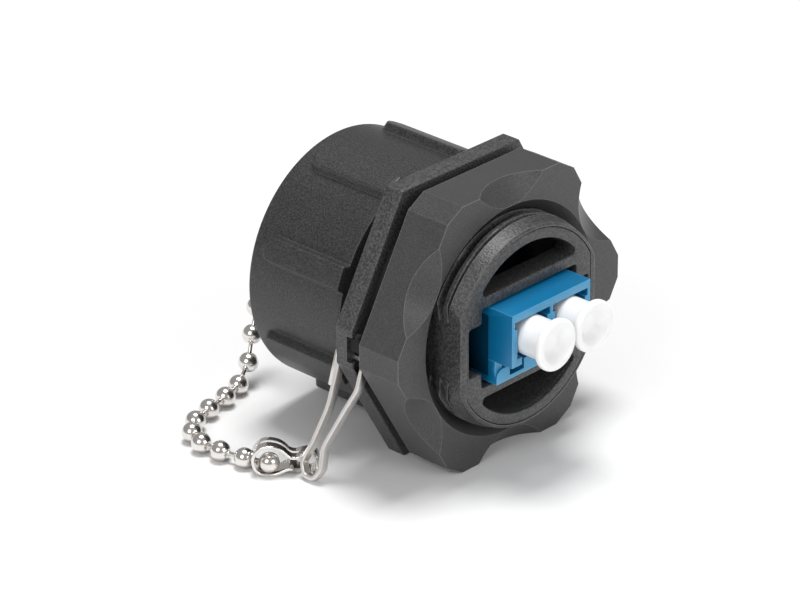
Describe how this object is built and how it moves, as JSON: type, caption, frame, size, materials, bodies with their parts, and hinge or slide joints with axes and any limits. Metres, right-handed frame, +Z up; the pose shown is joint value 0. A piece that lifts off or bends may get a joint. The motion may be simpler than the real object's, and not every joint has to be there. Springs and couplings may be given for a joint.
{
  "type": "waterproof duplex LC fibre bulkhead adapter",
  "caption": "Waterproof panel feed-through for duplex LC fibre: hex flange, scalloped lock nut, blue adapter with white dust plugs, screw cap tethered by a ball chain.",
  "frame": {"origin": "on the device axis, in the flange face that the panel gasket seats on", "axes": "+X out of the panel on the lock nut's side, along the device axis; +Z up, square to the flange's top and bottom flats; -X goes into the screw cap"},
  "size_m": [0.0449, 0.0448, 0.033],
  "materials": {
    "black_plastic": "fine matt moulding",
    "black_rubber": "matt",
    "blue_plastic": "satin",
    "white_plastic": "satin, slightly soft",
    "ceramic": "polished zirconia",
    "spring_steel": "bright rolled",
    "chain_nickel": "bright nickel plating",
    "link_steel": "satin"
  },
  "bodies": {
    "socket": {"socket_body": "black_plastic", "adapter_front": "blue_plastic", "adapter_rear": "blue_plastic", "adapter_clip": "spring_steel", "sleeve_left": "ceramic", "sleeve_right": "ceramic"},
    "gasket": {"panel_gasket": "black_rubber"},
    "nut": {"lock_nut": "black_plastic"},
    "plug_left": {"dust_plug_left": "white_plastic"},
    "plug_right": {"dust_plug_right": "white_plastic"},
    "eyelet": {"chain_eyelet": "chain_nickel", "chain_rod_15": "chain_nickel"},
    "cap": {"screw_cap": "black_plastic", "cap_seal": "black_rubber", "cap_rivet": "link_steel"},
    "link": {"ring_link": "link_steel"},
    "clasp": {"chain_clasp": "chain_nickel", "chain_bead_01": "chain_nickel", "chain_rod_01": "chain_nickel"},
    "chain_02": {"chain_bead_02": "chain_nickel", "chain_rod_02": "chain_nickel"},
    "chain_03": {"chain_bead_03": "chain_nickel", "chain_rod_03": "chain_nickel"},
    "chain_04": {"chain_bead_04": "chain_nickel", "chain_rod_04": "chain_nickel"},
    "chain_05": {"chain_bead_05": "chain_nickel", "chain_rod_05": "chain_nickel"},
    "chain_06": {"chain_bead_06": "chain_nickel", "chain_rod_06": "chain_nickel"},
    "chain_07": {"chain_bead_07": "chain_nickel", "chain_rod_07": "chain_nickel"},
    "chain_08": {"chain_bead_08": "chain_nickel", "chain_rod_08": "chain_nickel"},
    "chain_09": {"chain_bead_09": "chain_nickel"},
    "chain_15": {"chain_bead_15": "chain_nickel", "chain_rod_14": "chain_nickel"},
    "chain_14": {"chain_bead_14": "chain_nickel", "chain_rod_13": "chain_nickel"},
    "chain_13": {"chain_bead_13": "chain_nickel", "chain_rod_12": "chain_nickel"},
    "chain_12": {"chain_bead_12": "chain_nickel", "chain_rod_11": "chain_nickel"},
    "chain_11": {"chain_bead_11": "chain_nickel", "chain_rod_10": "chain_nickel"},
    "chain_10": {"chain_bead_10": "chain_nickel", "chain_rod_09": "chain_nickel"}
  },
  "joints": [
    {"name": "nut_travel", "type": "slide", "parent": "socket", "child": "gasket", "axis": [1, 0, 0], "range_m": [0, 0.00826]},
    {"name": "nut_turn", "type": "hinge", "parent": "gasket", "child": "nut", "pos_m": [0.0045, 0, 0], "axis": [1, 0, 0], "range_deg": [0, 1980]},
    {"name": "cap_travel", "type": "slide", "parent": "socket", "child": "eyelet", "axis": [-1, 0, 0], "range_m": [0, 0.01101]},
    {"name": "cap_turn", "type": "hinge", "parent": "eyelet", "child": "cap", "pos_m": [-0.012, 0, 0], "axis": [-1, 0, 0], "range_deg": [0, 1980]},
    {"name": "plug_left_pull", "type": "slide", "parent": "socket", "child": "plug_left", "axis": [1, 0, 0], "range_m": [0, 0.008]},
    {"name": "plug_right_pull", "type": "slide", "parent": "socket", "child": "plug_right", "axis": [1, 0, 0], "range_m": [0, 0.008]},
    {"name": "link_swing", "type": "hinge", "parent": "socket", "child": "link", "pos_m": [-0.00125, -0.01628, -0.0022], "axis": [1, 0, 0], "range_deg": [-70, 0]},
    {"name": "clasp_swing", "type": "hinge", "parent": "link", "child": "clasp", "pos_m": [-0.00365, -0.0205, -0.01492], "axis": [0, 0, 1], "range_deg": [-15, 15]},
    {"name": "ball_02_bend", "type": "hinge", "parent": "clasp", "child": "chain_02", "pos_m": [-0.01025, -0.02347, -0.01518], "axis": [0, 0, 1], "range_deg": [0, 20]},
    {"name": "ball_03_bend", "type": "hinge", "parent": "chain_02", "child": "chain_03", "pos_m": [-0.01341, -0.02416, -0.0153], "axis": [0, 0, 1], "range_deg": [-20, 20]},
    {"name": "ball_04_bend", "type": "hinge", "parent": "chain_03", "child": "chain_04", "pos_m": [-0.01632, -0.02449, -0.0153], "axis": [0, 0, 1], "range_deg": [-20, 20]},
    {"name": "ball_05_bend", "type": "hinge", "parent": "chain_04", "child": "chain_05", "pos_m": [-0.01898, -0.02395, -0.0153], "axis": [0, 0, 1], "range_deg": [-20, 20]},
    {"name": "ball_06_bend", "type": "hinge", "parent": "chain_05", "child": "chain_06", "pos_m": [-0.02104, -0.02223, -0.0153], "axis": [0, 0, 1], "range_deg": [-20, 20]},
    {"name": "ball_07_bend", "type": "hinge", "parent": "chain_06", "child": "chain_07", "pos_m": [-0.02236, -0.01932, -0.0153], "axis": [0, 0, 1], "range_deg": [-20, 20]},
    {"name": "ball_08_bend", "type": "hinge", "parent": "chain_07", "child": "chain_08", "pos_m": [-0.02319, -0.01599, -0.0153], "axis": [0, 0, 1], "range_deg": [-20, 20]},
    {"name": "ball_09_bend", "type": "hinge", "parent": "chain_08", "child": "chain_09", "pos_m": [-0.02411, -0.01285, -0.0153], "axis": [0, 0, 1], "range_deg": [-20, 20]},
    {"name": "ball_15_bend", "type": "hinge", "parent": "eyelet", "child": "chain_15", "pos_m": [-0.02265, -0.00281, 0.00104], "axis": [0, 0, 1], "range_deg": [-20, 0]},
    {"name": "ball_14_bend", "type": "hinge", "parent": "chain_15", "child": "chain_14", "pos_m": [-0.02445, -0.00355, -0.00126], "axis": [0, 0, 1], "range_deg": [-20, 20]},
    {"name": "ball_13_bend", "type": "hinge", "parent": "chain_14", "child": "chain_13", "pos_m": [-0.02559, -0.00488, -0.0039], "axis": [0, 0, 1], "range_deg": [-20, 20]},
    {"name": "ball_12_bend", "type": "hinge", "parent": "chain_13", "child": "chain_12", "pos_m": [-0.02618, -0.00631, -0.00662], "axis": [0, 0, 1], "range_deg": [-20, 20]},
    {"name": "ball_11_bend", "type": "hinge", "parent": "chain_12", "child": "chain_11", "pos_m": [-0.02603, -0.0076, -0.00959], "axis": [0, 0, 1], "range_deg": [-20, 20]},
    {"name": "ball_10_bend", "type": "hinge", "parent": "chain_11", "child": "chain_10", "pos_m": [-0.02543, -0.00893, -0.01253], "axis": [0, 0, 1], "range_deg": [-20, 20]}
  ],
  "couplings": [
    {"joint": "nut_travel", "follows": "nut_turn", "m_per_rad": 0.00023873},
    {"joint": "cap_travel", "follows": "cap_turn", "m_per_rad": 0.00031831}
  ]
}
